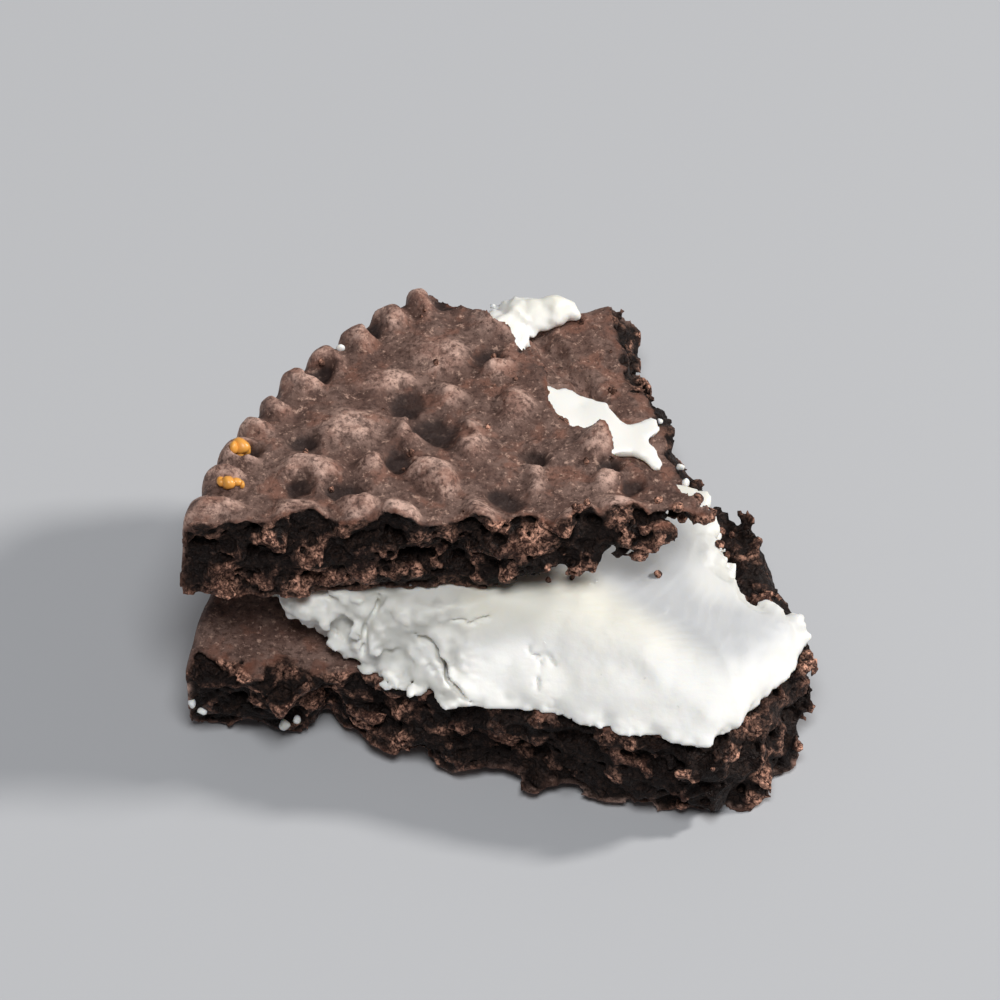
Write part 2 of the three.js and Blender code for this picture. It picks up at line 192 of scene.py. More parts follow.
RIGHT_RUNS_ON = ((-8.0, -3.9), (-27.0, -3.9))
RESIDUE = (
    (-10.5, 18.6), (-7.9, 18.5), (-7, 18.1), (-5.9, 17.9), (-5.7, 16.7), (-5.3, 16.2), (-4.4, 16.6),
    (-4.2, 16), (-4.7, 15.5), (-4.3, 14.6), (-5.1, 15), (-6.4, 14.6), (-7.6, 13.2), (-10.5, 13.2),
)
RESIDUE_HEIGHT = 0.55
BEADS = (
    dict(middle=(-8.5, 22.2, 0.4), radii=(1.2, 0.65, 0.5)),
    dict(middle=(-10.5, 20.4, 0.2), radii=(1.3, 2.1, 0.45)),
)
BEAD_JOIN = 0.4  # how wide the bead and its neck run together
END_HEIGHT, END_FALL_X, END_FALL_Y = 1.0, 0.34, -0.076
HOLLOW_FROM, HOLLOW_TO, HOLLOW_CRUST = -10.2, -2.6, 0.9
HOLLOW_ROUGHNESS = 0.5
HOLLOW_END = (1.0, 5.0)  # how far left of its start it closes, and how steeply
# The top wafer's tip at the back is worn off where X and the radius add up to this
APEX_REACH, APEX_ROUND = 9.15, 0.8

# Details of the creme
CORNER_ROUND = (0.2, 2.5)  # rounding of the front corner at the foot, and its gain upwards
RIM_BULGE = 0.75  # how far round the bulge at the rim goes, squared
CHALK_REACH = (-1.2, 1.0)
CHALK_WARP = (0.5, 0.8)  # how far the grains are bent, and over what length
LUMP = dict(size=1.05, flatness=1.1, depth=0.75, middle=0.5)
GRAIN = dict(size=0.42, flatness=1.1, depth=0.9, middle=0.2)
HOLE = dict(size=1.0, flatness=1.3, depth=1.2, radius=0.3)
CRUMBLY_FROM = (0.35, 1.0)  # roughness of the break from which it is crumbly
CRUMBLY_TIP = dict(share=0.8, x=(-4.5, -2.5), y=(4.5, 6.5))
CRUMBLY_FOOT = dict(share=0.55, z=(0.1, 0.55))
CRUMBLY_LEAST, CRUMBLY_TOP = 0.04, 0.35
LOBES = (0.7, (-16.5, -14))  # how much stronger the grains are at the left end
# Single swellings of the front: middle, radii and how far they reach
SWELLINGS = (
    dict(middle=(-11.3, 4.9, 1.35), radii=(1.3, 1.2, 0.9), reach=0.75),
    dict(middle=(-16.9, 6.4, 1.9), radii=(1.3, 1.3, 0.9), reach=0.95),
)
SWELLING_ROUGHNESS = 0.5
TOP_ROUND = dict(least=0.18, more=1.1, x=(-11, -6), y=(5, 7.5))
FOOT_ROUND = 0.05
# Cracks in the front: both ends as X and height, half the width and the depth
CRACKS = (
    ((-13.1, 2.0), (-11.3, 0.1), 0.16, 0.9),
    ((-14.7, 2.6), (-15.4, 0.3), 0.14, 0.8),
    ((-12.3, 2.35), (-10.3, 2.5), 0.09, 0.5),
    ((-8.9, 1.7), (-8.0, 1.3), 0.06, 0.3),
    ((-8.5, 1.5), (-8.7, 0.8), 0.05, 0.3),
)
CRACKS_BACK = 8  # there are none behind this Y
CRACK_ENDS, CRACK_END_WIDTH = (0.6, 1.0), 0.3  # where a crack narrows, and to what share
SMEAR_SPREAD, SMEAR_ROUND = 0.15, 0.1
SMEAR_HEIGHT = 0.55  # share of the residue's height
FACET_EDGE = (-0.5, 0.9)

# Colours; a noise mixes those in pairs
# The ground colour, and the colours for the dents, the grains' seams and the pores, are painted
# shade in those recesses
COCOA = dict(
    skin=((0.33, 0.183, 0.14), (0.76, 0.5, 0.405)), ground=(0.08, 0.04, 0.03),
    dark=(0.07, 0.034, 0.026), rust=(0.3, 0.13, 0.085), pale=(0.8, 0.52, 0.4),
    specks=(0.05, 0.024, 0.018), shaded_dent=(0.015, 0.007, 0.006), ruddy=(0.2, 0.075, 0.045),
    grain=((0.05, 0.019, 0.0135), (0.88, 0.46, 0.32)), shaded_seam=(0.01, 0.005, 0.004),
    pore_shade=(0.005, 0.0025, 0.002),
)
# The creme's colour for its sloping end, slightly bluish, and that for the hollows of its chalk are
# painted shade
VANILLA = dict(
    white=((0.87, 0.855, 0.81), (0.85, 0.84, 0.81)), ivory=(0.82, 0.79, 0.68),
    facet_shade=(0.53, 0.535, 0.54), chalk=(0.8, 0.79, 0.75), pit=(0.5, 0.49, 0.44),
)
GOLDEN = (0.82, 0.37, 0.07)
FLOOR_COLOUR = (0.48, 0.485, 0.5)
# Patches: a noise's size, detail and roughness, and a band of it with the shares at its ends
PATCHES = dict(
    skin=((1.6, 5.0, 0.7), (0.38, 0.62)), dark=((0.35, 4.0, 0.7), (0.36, 0.56, 0.65, 0.0)),
    rust=((1.1, 3.0, 0.6), (0.5, 0.66, 0.0, 0.5)),
    pale=((0.26, 4.0, 0.75), (0.55, 0.68, 0.0, 0.55)),
    specks=((0.2, 3.0, 0.7), (0.36, 0.48, 0.6, 0.0)), ruddy=((0.8,), (0.4, 0.6)),
    grain=((0.16, 4.0, 0.75), (0.4, 0.62)), light=((1.6, 2.0), (0.35, 0.65, 0.7, 2.2)),
    gloss=((0.9, 3.0), (0.3, 0.7, 0.5, 0.78)), white=((2.4, 3.0), (0.35, 0.65)),
)
# The same bands of the numbers kept on the meshes
FADES = dict(
    ground=(-0.1, 0.55, 0.85, 0.0), shaded_dent=(-0.55, -0.05, 0.85, 0.0), ruddy=(0.0, 0.45, 1.0, 0.0),
    shaded_seam=(0.0, 0.12, 0.55, 0.0), pore_shade=(-0.15, 0.25, 0.0, 0.97), shine=(0, 1, 0.35, 0.2),
    ivory=(0.3, 1.6, 0.75, 0.0), chalk=(0.2, 1.0, 0.0, 0.8), pit=(-0.25, 0.05, 0.7, 0.0),
)
GRAIN_SIZE = 0.24
GRAIN_BEND = (0.4, 0.2)
# Bump: its noises, their shares and its depth
CRUMB_BUMP, SKIN_BUMP, CREME_BUMP = (0.2, 4.0, 0.7), (0.5, 6.0, 0.75), (0.7, 4.0, 0.6)
SEAM_SHARE, SKIN_SHARE = 1.5, 1.7
COCOA_BUMP_DEPTH, CREME_BUMP_DEPTH = 0.12, 0.02
CREME_GLOW = {"Weight": 0.5, "Radius": (1.0, 0.85, 0.65), "Scale": 0.25 * MM}
ROUGHNESS = dict(cocoa=0.7, vanilla=0.5, golden_crumb=0.35, floor_paint=0.9)

# Lamps: azimuth (0 in front, 90 at the right), elevation, distance, size, power and colour
LAMPS = dict(
    key=(100, 34, 0.6, 0.08, 2.8, (1.0, 0.98, 0.95)),
    fill=(5, 64, 0.8, 0.3, 4.2, (0.97, 0.985, 1.0)),
)
WORLD_COLOUR, WORLD_STRENGTH = (0.93, 0.95, 1.0, 1), 0.11
FLOOR_REACH = 1.5

# The view of the photographed piece
CAMERA_ELEVATION = math.radians(46)
CAMERA_DISTANCE = 0.45
CAMERA_AIM = Vector((0, 0, 0.0055))
SENSOR_WIDTH = 36
CLIP_START = 0.01
VIEW_WIDTH = 0.0365
SIGHT = Vector((0, math.cos(CAMERA_ELEVATION), -math.sin(CAMERA_ELEVATION)))

# The blocks of sample points: low corner, high corner and step
TOP_BLOCK = ((-22.6, 3.4, -0.4), (-1.2, 22.2, 4.7), 0.095)
BOTTOM_BLOCK = ((-22.2, -1.2, -0.3), (2.0, 24.7, 4.6), 0.12)
CREME_BLOCK = ((-20.8, -0.6, -0.3), (2.0, 23.2, 3.4), 0.1)
THINNING = 0.02  # how far flat stretches of a mesh are thinned out
OCTAVE_SHARE, OCTAVE_SEED = 0.55, 17  # strength of each size of wave beside the last
TABLE_SIZE = 32  # cells until scattered points repeat
FAR = 9.0  # a distance beyond every other


# ---- fields


def ramp(value, low=0.0, high=1.0):
    """Rises smoothly from 0 at low to 1 at high."""
    share = np.clip((value - low) / (high - low), 0, 1)
    return share * share * (3 - 2 * share)


def over(value, stretch):
    """Rises smoothly from 0 to 1 over a stretch given as (low, high)."""
    return ramp(value, *stretch)


class Block:
    """A block of sample points in millimetres, whose x, y and z broadcast together."""

    def __init__(self, low, high, step):
        self.low = np.array(low, float)
        self.step = step
        axes = []
        for axis in range(3):
            count = int(math.ceil((high[axis] - low[axis]) / step)) + 1
            shape = [1, 1, 1]
            shape[axis] = count
            axes.append((low[axis] + step * np.arange(count)).astype(np.float32).reshape(shape))
        self.axes = self.x, self.y, self.z = axes
        self.shape = tuple(values.size for values in axes)

    def level(self, z):
        """The block's points at one height only."""
        flat = Block.__new__(Block)
        flat.axes = flat.x, flat.y, flat.z = self.x, self.y, np.full((1, 1, 1), z, np.float32)
        flat.shape = (*self.shape[:2], 1)
        return flat

    def points(self, chosen):
        """The chosen points of the block, one row each."""
        axes = [np.broadcast_to(values, self.shape)[chosen] for values in self.axes]
        return np.stack(axes, axis=1)

    def sample(self, values, points):
        """An array of the block's values at other points, one row each."""
        place = np.clip((points - self.low) / self.step, 0, np.array(self.shape) - 1.001)
        cell = place.astype(int)
        share = place - cell
        values = np.broadcast_to(values, self.shape)
        total = 0.0
        for corner in np.ndindex(2, 2, 2):
            weight = np.prod(np.where(corner, share, 1 - share), axis=1)
            total = total + weight * values[tuple((cell + corner).T)]
        return total


def corner_value(i, j, k, seed):
    """A repeatable number from 0 to 1 for each corner of a unit lattice, as in the solids."""
    mixed = np.sin(i * 127.1 + j * 311.7 + k * 74.7 + seed * 53.9) * 43758.5453
    return mixed - np.floor(mixed)


def noise(block, size, seed, flatness=1.0):
    """Smooth noise from 0 to 1 over a block, which changes over a distance of about size."""
    cells, shares = [], []
    for values, scale in zip(block.axes, (1.0, 1.0, flatness)):
        place = values.astype(float) * scale / size
        cells.append(np.floor(place).astype(int).ravel())
        shares.append(ramp(place - np.floor(place)).astype(np.float32))
    spans = [np.arange(cell.min(), cell.max() + 2) for cell in cells]
    value = corner_value(*np.meshgrid(*spans, indexing="ij"), seed).astype(np.float32)
    for axis in range(3):
        first = np.take(value, cells[axis] - spans[axis][0], axis)
        second = np.take(value, cells[axis] - spans[axis][0] + 1, axis)
        value = first + (second - first) * shares[axis]
    return value


def waves(block, name, run=0):
    """Noise of several sizes, each half the one before; run is where a part's seeds start."""
    depth, size, octaves, seed = WAVES[name]
    total, weight = 0.0, 1.0
    for octave in range(octaves):
        values = noise(block, size / 2**octave, run + seed + OCTAVE_SEED * octave)
        total = total + weight * (2 * values - 1)
        weight *= OCTAVE_SHARE
    return depth * total


def crag(block, seed):
    """How far a broken face stands out or in, the same as on the solids."""
    total = 0.0
    for index, (size, share) in enumerate(zip(CRAG_SIZES, CRAG_SHARES)):
        total = total + share * (noise(block, size, seed + index, CRAG_FLATNESS) - 0.5)
    return total * CRAG_DEPTH


def cragged(block, x, y, part, share=1.0):
    """Points moved so that an outline around them gets the crags of a part's broken face."""
    seed = CRAG_SEEDS[part]
    return x - share * crag(block, seed), y - share * crag(block, seed + CRAG_TURN)


def scattered(points, size, seed, flatness=1.0):
    """Distance to the nearest of scattered points, one to a cell, and that point's own number."""
    table = np.random.default_rng(seed).random((TABLE_SIZE,) * 3 + (4,)).astype(np.float32)
    place = points / size * np.array([1, 1, flatness], np.float32)
    home = np.floor(place).astype(np.int32)
    nearest = np.full(len(place), FAR, np.float32)
    number = np.zeros(len(place), np.float32)
    for offset in np.ndindex(3, 3, 3):
        cell = home + np.array(offset, np.int32) - 1
        entry = table[tuple((cell % TABLE_SIZE).T)]
        away = np.linalg.norm(cell + entry[:, :3] - place, axis=1)
        closer = away < nearest
        nearest[closer] = away[closer]
        number[closer] = entry[closer, 3]
    return nearest * size, number


def inside_distance(x, y, corners):
    """Distance to a closed outline, positive inside it."""
    nearest, inside = 1e9, False
    for (ax, ay), (bx, by) in zip(corners, corners[1:] + corners[:1]):
        dx, dy = bx - ax, by - ay
        along = np.clip(((x - ax) * dx + (y - ay) * dy) / (dx * dx + dy * dy), 0, 1)
        nearest = np.minimum(nearest, (x - ax - along * dx) ** 2 + (y - ay - along * dy) ** 2)
        if dy:
            inside = inside ^ (((ay > y) != (by > y)) & (x < ax + dx * (y - ay) / dy))
    return np.where(inside, 1, -1) * np.sqrt(nearest)


def between(first, second, share):
    """A value from first at share 0 to second at share 1."""
    return first + share * (second - first)


def rounded(first, second, radius):
    """The field inside two faces whose common edge is rounded."""
    corner = np.hypot(np.maximum(radius - first, 0), np.maximum(radius - second, 0))
    return np.minimum(np.minimum(first, second), radius - corner)


# ---- wafers


def motif_row(radius, angle, row):
    """One row of raised motifs, each a little different: 1 on a motif and 0 between them."""
    pitch = 2 * math.pi / row["count"]
    index = np.round(angle / pitch - row["phase"]) + row["phase"]
    size = MOTIF_SIZE[0] + MOTIF_SIZE[1] * corner_value(index, row["count"], 0, 1)
    height = MOTIF_HEIGHT[0] + MOTIF_HEIGHT[1] * corner_value(index, row["count"], 0, 2)
    slip = MOTIF_SLIP * (corner_value(index, row["count"], 0, 3) - 0.5)
    outward = radius - row["radius"] - slip
    across = radius * (angle - pitch * index)
    along = outward * math.cos(row["slant"]) + across * math.sin(row["slant"])
    aside = across * math.cos(row["slant"]) - outward * math.sin(row["slant"])
    reach = np.hypot(along / row["half_length"], aside / row["half_width"]) / size
    dome = 1 - MOTIF_DOME * np.clip(reach, 0, 1) ** 2
    return height * dome * (1 - over((reach - 1) * row["half_width"], MOTIF_SLOPE))


def relief(radius, angle):
    """The height of the embossing from 0, the ground, to 1, the tops of the motifs."""
    rib = RIB_HEIGHT * over(np.cos(RIB_COUNT * angle), RIB_SLOPE) * over(radius, RIB_RISE)
    raised = np.maximum(rib, 1 - over(radius, CENTRE_EDGE))
    for row in MOTIF_ROWS:
        raised = np.maximum(raised, motif_row(radius, angle, row))
    return raised


def dented(face, spots):
    """How deep a face is dented, from 0 to 1 in the middle of a spot."""
    deep = 0.0
    ragged = waves(face, "dents")
    for x, y, radius in spots:
        away = np.hypot(face.x - x, face.y - y) + ragged
        deep = np.maximum(deep, over(DENT_REACH - away / radius, DENT_SLOPE))
    return deep


def outer_faces(block, x, y, height, skin, seed, rise, spots=()):
    """The field inside a wafer's rim and its embossed face; height is above the inner face."""
    face = block.level(WAFER_THICKNESS)
    wander, drift = waves(face, "rows", seed), waves(face, "rows", seed + 1)
    raised = relief(np.hypot(x + wander, y + drift), np.arctan2(y + drift, x + wander))
    left_over = WEAR_LEAST
    for turn, share, size in WEAR:
        left_over = left_over + share * noise(face, size, seed + turn)
    shaded_dent = dented(face, spots)
    worn = raised * left_over * (1 - shaded_dent)
    swell = waves(face, "broad", seed) + waves(face, "fine", seed)
    swell = swell + rise - DENT_DEPTH * shaded_dent
    radius = np.hypot(x, y)
    ground = WAFER_THICKNESS - RELIEF_DEPTH
    top = ground + RELIEF_DEPTH * worn + swell - height - skin
    notch = RIB_NOTCH * (1 - raised) * ramp(height, NOTCH_START, ground - SHOULDER)
    side = COOKIE_RADIUS - RIM_INSET - notch * over(radius, NOTCH_RADII) - radius - 2 * skin
    # the second value, the relief's height lowered in the dents, drives painted shade on the low
    # ground and in the dents
    return rounded(top, side, SHOULDER), worn - DENT_SHADE * shaded_dent


def crumble(block, near, edge, seed):
    """The crumb of a broken face where near marks it: its field, and how deep its pores go."""
    reach, size = CRUMB_WARP
    warp = [reach * (noise(block, size, seed + turn)[near] - 0.5) for turn in range(3)]
    points = block.points(near) + np.stack(warp, axis=1)
    clump, _ = scattered(points, LUMPS["size"], seed + 3, LUMPS["flatness"])
    base = edge[near] + LUMPS["depth"] * (LUMPS["middle"] - clump)
    base = base + waves(block, "crumb", seed)[near]
    field = base
    for turn, (spacing, least, spread) in enumerate(PORES):
        away, size = scattered(points, spacing, seed + 8 + turn, PORE_FLATNESS)
        field = np.minimum(field, away - least - spread * size + PORE_FADE * base)
    return field, base - field


def broken(block, body, edge, seed):
    """A layer's field cut off at a broken edge, and how its surface divides into skin and crumb."""
    near = (edge < CRUMB_REACH[1]) & (edge > CRUMB_REACH[0]) & (body > -CRUMB_MARGIN)
    face, sunk = crumble(block, near, edge, seed)
    deep = ramp(body[near], 0.0, CRUST_WIDTH)
    cut = edge.astype(np.float32)
    share = CRUST_SHARE + (1 - CRUST_SHARE) * deep
    cut[near] = edge[near] + (face - edge[near]) * share - CRUST_STEP * deep
    pit = np.full(block.shape, PIT_FAR, np.float32)
    pit[near] = edge[near] + np.maximum(sunk - PIT_START, 0)
    return np.minimum(body, cut), over(body - cut, CRUMB_EDGE), pit


# ---- meshes


def largest_part(points, faces):
    """The largest connected part of a mesh, so that closed pores and loose scraps drop out."""
    label = np.arange(len(points))
    pairs = np.concatenate([
        face[:, [side, side + 1]] for face in faces for side in range(face.shape[1] - 1)])
    while True:
        low = np.minimum(label[pairs[:, 0]], label[pairs[:, 1]])
        before = label.copy()
        np.minimum.at(label, pairs[:, 0], low)
        np.minimum.at(label, pairs[:, 1], low)
        label = label[label[label]]
        if (before == label).all():
            break
    keep = label == np.bincount(label).argmax()
    index = np.cumsum(keep) - 1
    return points[keep], [index[face[keep[face[:, 0]]]] for face in faces]


def add_mesh(name, points, faces, numbers, material):
    """A mesh in the scene, with numbers kept on its points."""
    data = bpy.data.meshes.new(name)
    data.from_pydata(points, [], faces)
    for key, values in numbers.items():
        data.attributes.new(key, "FLOAT", "POINT").data.foreach_set("value", values)
    data.shade_smooth()
    data.materials.append(material)
    piece = bpy.data.objects.new(name, data)
    bpy.context.scene.collection.objects.link(piece)
    return piece


def mesh_piece(name, block, field, to_row, attributes, material):
    """A mesh of the surface where a field is 0, with numbers of the block kept on its points."""
    grid = openvdb.FloatGrid()
    reach = 3 * block.step
    grid.background = reach
    grid.copyFromArray(np.clip(-field, -reach, reach).astype(np.float32))
    points, triangles, quads = grid.convertToPolygons(isovalue=0.0, adaptivity=THINNING)
    points, faces = largest_part(points, [triangles.astype(int), quads.astype(int)])
    points = block.low + points * block.step
    faces = [row for face in faces for row in face.tolist()]
    numbers = {key: block.sample(values, points).astype(np.float32)
               for key, values in attributes.items()}
    return add_mesh(name, (to_row(points) * MM).tolist(), faces, numbers, material)


def level_to_row(points):
    """From the cookie's axis to the row's frame, still in millimetres."""
    return points - np.array([PIECE_MIDDLE[0], PIECE_MIDDLE[1], 0.0])


def leaning_to_row(points):
    """From the top wafer's own level frame to the row's frame, in millimetres."""
    x = points[:, 0]
    y = points[:, 1] - TILT_AXIS_Y - WAFER_THICKNESS * math.sin(TOP_TILT)
    z = points[:, 2]
    leaned_y = y * math.cos(TOP_TILT) + z * math.sin(TOP_TILT) + TILT_AXIS_Y
    leaned_z = z * math.cos(TOP_TILT) - y * math.sin(TOP_TILT) + WAFER_THICKNESS + CREME_HEIGHT
    return level_to_row(np.stack([x, leaned_y, leaned_z], axis=1))


def make_top_wafer(material):
    """The leaning wafer, with its tip hollowed out to a thin crust."""
    block = Block(*TOP_BLOCK)
    x, y, z = block.x, block.y, block.z
    skin = waves(block, "top_skin")
    outer, raised = outer_faces(
        block, x - TOP_SLIP[0], y - TOP_SLIP[1], z, skin, SEEDS["top_face"], TOP_RISE, TOP_DENTS)
    body = rounded(outer, z + waves(block, "top_inner"), INNER_EDGE)
    edge = inside_distance(*cragged(block, x, y, "top"), TOP_BREAK + BEYOND_RIM)
    apex = (APEX_REACH - np.hypot(x, y - TOP_SLIP[1]) - x) * math.sqrt(0.5)
    edge = rounded(edge, apex, APEX_ROUND)
    steepness = (WAFER_THICKNESS - HOLLOW_CRUST) / (HOLLOW_TO - HOLLOW_FROM)
    roof = z - steepness * (x - HOLLOW_FROM) - HOLLOW_ROUGHNESS * crag(block, CRAG_SEEDS["hollow"])
    closing, fall = HOLLOW_END
    hollow = np.maximum(roof, fall * (HOLLOW_FROM - closing - x))
    field, crumb, pit = broken(block, body, np.minimum(edge, hollow), SEEDS["top_crumb"])
    attributes = {"crumb": crumb, "raised": raised, "pit": pit}
    return mesh_piece("cocoa_wafer_top", block, field, leaning_to_row, attributes, material)


def make_bottom_wafer(material):
    """The lower wafer, embossed face down, with the foot of its broken front standing back."""
    block = Block(*BOTTOM_BLOCK)
    x, y, z = block.x, block.y, block.z
    skin = waves(block, "bottom_skin")
    outer, raised = outer_faces(
        block, x - BOTTOM_SLIP[0], BOTTOM_SLIP[1] - y, WAFER_THICKNESS - z, skin,
        SEEDS["bottom_face"], BOTTOM_RISE)
    recess = between(*BOTTOM_RECESS["depths"], over(x, BOTTOM_RECESS["start"]))
    foot = recess * (1 - over(y, FRONT_FADE)) * (1 - np.clip(z / WAFER_THICKNESS, 0, 1))
    moved_x, moved_y = cragged(block, x, y, "bottom")
    edge = inside_distance(moved_x, moved_y - foot, BOTTOM_BREAK + BEYOND_RIM)
    notch = FRONT_NOTCH["depth"] * np.exp(-((x - FRONT_NOTCH["x"]) / FRONT_NOTCH["width"]) ** 2)
    edge = edge - notch * (1 - over(y, FRONT_NOTCH["back"])) * (1 - over(z, FRONT_NOTCH["up"]))
    edge = edge - RIGHT_INSET[0] * over(x, RIGHT_INSET[1])
    body = rounded(outer, WAFER_THICKNESS - z - inner_wear(block), BOTTOM_INNER_EDGE)
    torn = WAFER_THICKNESS - z - torn_depth(block)
    field, crumb, pit = broken(block, body, np.minimum(edge, torn), SEEDS["bottom_crumb"])
    # painted shade on the inner face, under the top wafer
    raised = between(raised, INNER_SHADE, over(z, INNER_START))
    # painted shade on the crumb, deeper to the right
    least, more, start = CRUMB_SHADE
    attributes = {"crumb": crumb, "raised": raised, "pit": pit + least + more * over(x, start)}
    return mesh_piece("cocoa_wafer_bottom", block, field, level_to_row, attributes, material)


def from_line(x, y, start, end):
    """The distance to a straight line between two points, and how far along it, from 0 to 1."""
    dx, dy = end[0] - start[0], end[1] - start[1]
    along = np.clip(((x - start[0]) * dx + (y - start[1]) * dy) / (dx * dx + dy * dy), 0, 1)
    return np.hypot(x - start[0] - along * dx, y - start[1] - along * dy), along


def inner_wear(block):
    """How far the lower wafer's inner face lies below its level: a faint texture and a groove."""
    face = block.level(WAFER_THICKNESS)
    bent = RIPPLE["bend"] * noise(face, RIPPLE["bend_size"], SEEDS["ripple"])
    across = (face.x + face.y) * math.sqrt(0.5) + bent
    ripple = 0.5 + 0.5 * np.cos(2 * math.pi * across / RIPPLE["length"])
    first, second = (
        noise(face, *kind) for kind in zip(INNER_GRAIN["sizes"], SEEDS["inner_grain"]))
    shown = np.maximum(over(face.y, RIPPLE_BACK), 1 - over(face.x, RIPPLE_LEFT))
    bend = waves(face, "groove")
    groove, _ = from_line(face.x + bend, face.y + bend, GROOVE["start"], GROOVE["end"])
    grain = INNER_GRAIN["depth"] * (first + second)
    wear = INNER_WEAR + (RIPPLE["depth"] * ripple**3 + grain) * shown
    return wear + GROOVE["depth"] * (1 - over(groove, GROOVE["side"]))


def torn_depth(block):
    """How deep the skin of the lower wafer's inner face is torn off along its breaks."""
    face = block.level(WAFER_THICKNESS)
    moved = cragged(face, face.x, face.y, "bottom")
    strip = inside_distance(*moved, BOTTOM_BREAK + BEYOND_RIM) + waves(face, "torn")
    width = TORN_WIDTH + TORN_LEFT[0] * (1 - over(face.x, TORN_LEFT[1]))
    width = width + TORN_RIGHT[0] * over(face.x, TORN_RIGHT[1])
    back = TORN_BACK["least"] + TORN_BACK["more"] * (1 - over(face.y, TORN_BACK["end"]))
    width = width + over(face.x, TORN_BACK["x"]) * over(face.y, TORN_BACK["y"]) * back
    deep = TORN_DEPTH["least"] + TORN_DEPTH["more"] * over(width - strip, TORN_DEPTH["fall"])
    return TORN_DEPTH["away"] + over(width - strip, TORN_DEPTH["slope"]) * deep


def crack(x, z, start, end, half_width, depth, behind):
    """The field outside a crack that runs along a line of the front, narrower inwards."""
    away, along = from_line(x, z, start, end)
    ends = 1 - over(np.abs(2 * along - 1), CRACK_ENDS)
    width = CRACK_END_WIDTH + (1 - CRACK_END_WIDTH) * ends
    return away - half_width * (1 - behind / depth) * width


def blob_distance(block, middle, radii):
    """The distance from a blob's middle, in shares of its radii."""
    away = [(values - at) / reach for values, at, reach in zip(block.axes, middle, radii)]
    return np.sqrt(away[0] ** 2 + away[1] ** 2 + away[2] ** 2)


def chalk_grains(block, edge):
    """How far the crumbled creme stands out or in near a broken edge."""
    low, high = CHALK_REACH
    near = (edge < high) & (edge > low)
    points = block.points(near)
    reach, size = CHALK_WARP
    warp = reach * (noise(block, size, SEEDS["creme_warp"])[near] - 0.5)[:, None]
    lump, _ = scattered(points + warp, LUMP["size"], SEEDS["lumps"], LUMP["flatness"])
    grain, _ = scattered(points - warp, GRAIN["size"], SEEDS["grains"], GRAIN["flatness"])
    hole, size = scattered(points + warp, HOLE["size"], SEEDS["holes"], HOLE["flatness"])
    chalk = np.zeros(block.shape, np.float32)
    chalk[near] = LUMP["depth"] * (LUMP["middle"] - lump)
    chalk[near] += GRAIN["depth"] * (GRAIN["middle"] - grain)
    chalk[near] -= HOLE["depth"] * np.maximum(HOLE["radius"] * size - hole, 0)
    return chalk


def creme_break(block, share, coarse):
    """The field inside the creme's broken front and right edge, at a share of its height."""
    slope = CREME_SLOPE["left"] + CREME_SLOPE["middle"] * over(block.x, CREME_SLOPE["middle_start"])
    slope = slope + CREME_SLOPE["end"] * over(block.x, CREME_SLOPE["end_start"])
    front = block.y
    for _ in range(3):
        front = block.y - share * slope * (1 - over(front, CREME_FADE))
    x, y = cragged(block, block.x, front, "creme", coarse)
    along_front = FRONT_RUNS_ON + CREME_BREAK[CREME_CORNER:] + BEYOND_RIM
    along_right = CREME_BREAK[:CREME_CORNER + 1] + RIGHT_RUNS_ON + BEYOND_RIM
    least, more = CORNER_ROUND
    return rounded(inside_distance(x, y, along_front), inside_distance(x, y, along_right),
                   least + more * share)


